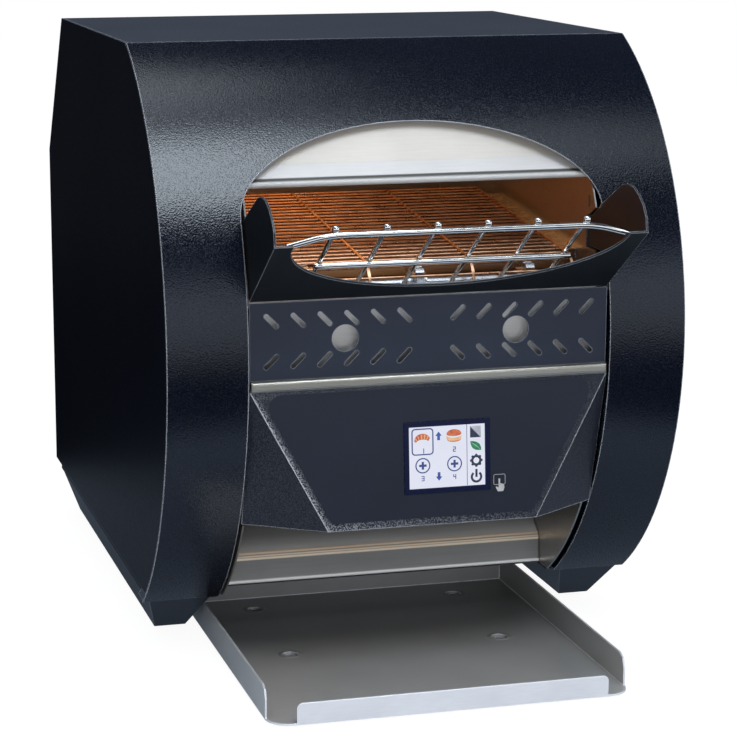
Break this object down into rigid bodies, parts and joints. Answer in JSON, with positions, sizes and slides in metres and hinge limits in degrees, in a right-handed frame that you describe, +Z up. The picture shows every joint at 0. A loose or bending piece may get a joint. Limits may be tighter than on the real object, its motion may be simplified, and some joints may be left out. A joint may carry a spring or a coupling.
{
  "type": "conveyor toaster",
  "caption": "Countertop conveyor toaster: bowed case, arched feed mouth with wire rack, wire belt, sloping touch panel and loose front tray.",
  "frame": {"origin": "on the counter, under the middle of the box round the toaster and its tray", "axes": "+Z up; -Y is the front, where bread goes in and comes out; +X is the right of a user facing it"},
  "size_m": [0.37, 0.594, 0.432],
  "materials": {
    "case_paint": "dark wrinkle powder coat",
    "side_paint": "smooth near-black satin paint",
    "trim_black": "satin black paint",
    "stainless": "brushed",
    "reflector": "bright",
    "steel": "plain",
    "belt_wire": "heat-tinted wire",
    "heater_sheath": "oxidised sheath",
    "rack_chrome": "bright plated wire",
    "rail_satin": "satin",
    "tray_aluminium": "satin",
    "motor_alloy": "cast and painted",
    "bushing": "sintered bronze",
    "ceramic": "white ceramic",
    "film": "satin printed film",
    "bezel": "fine grain",
    "screen": "lit touch screen",
    "board": "circuit board",
    "black_plastic": "moulded",
    "rubber": "matt"
  },
  "bodies": {
    "case": {"base_pan": "side_paint", "left_skid": "side_paint", "right_skid": "side_paint", "rubber_feet": "rubber", "left_inner_wall": "stainless", "right_inner_wall": "stainless", "left_side_panel": "side_paint", "right_side_panel": "side_paint", "front_panel": "case_paint", "top_cover": "case_paint", "rear_panel": "side_paint", "rear_screws": "steel", "hood_reflector": "reflector", "upper_reflector": "reflector", "cavity_rear_wall": "reflector", "lower_reflector": "reflector", "discharge_slide": "stainless", "heat_shield": "stainless", "upper_heaters": "heater_sheath", "lower_heaters": "heater_sheath", "heater_holders": "ceramic", "conveyor_belt": "belt_wire", "belt_rails": "stainless", "shaft_bearings": "bushing", "drive_chain": "steel", "motor_bracket": "steel", "gear_motor": "motor_alloy", "control_housing": "case_paint", "overlay_film": "film", "screen_bezel": "bezel", "touch_screen": "screen", "control_board": "board", "slot_panel": "case_paint", "trim_rail": "rail_satin", "feed_ramp": "trim_black", "feed_rack": "rack_chrome", "fan_frame": "black_plastic", "fan_guard": "steel", "cord_gland": "black_plastic", "relay_blocks": "black_plastic", "terminal_block": "ceramic"},
    "tray": {"collection_tray": "tray_aluminium"},
    "drive": {"drive_shaft": "steel", "drive_wheels": "steel", "drive_collars": "steel", "driven_sprocket": "steel"},
    "idler": {"idler_shaft": "steel", "idler_wheels": "steel", "idler_collars": "steel"},
    "motor_output": {"motor_sprocket": "steel"},
    "fan": {"fan_rotor": "black_plastic"}
  },
  "joints": [
    {"name": "tray_slide", "type": "slide", "parent": "case", "child": "tray", "axis": [0, -1, 0], "range_m": [-0.08, 0.26]},
    {"name": "drive_turn", "type": "hinge", "parent": "case", "child": "drive", "pos_m": [0, 0.02799, 0.288], "axis": [-1, 0, 0], "continuous": true},
    {"name": "idler_turn", "type": "hinge", "parent": "case", "child": "idler", "pos_m": [0, -0.16799, 0.268], "axis": [-1, 0, 0], "continuous": true},
    {"name": "motor_turn", "type": "hinge", "parent": "case", "child": "motor_output", "pos_m": [0.1316, 0.06199, 0.184], "axis": [-1, 0, 0], "continuous": true},
    {"name": "fan_turn", "type": "hinge", "parent": "case", "child": "fan", "pos_m": [-0.07955, 0.275, 0.12], "axis": [0, 1, 0], "continuous": true}
  ],
  "couplings": [
    {"joint": "idler_turn", "follows": "drive_turn", "ratio": 1},
    {"joint": "motor_turn", "follows": "drive_turn", "ratio": 2}
  ]
}
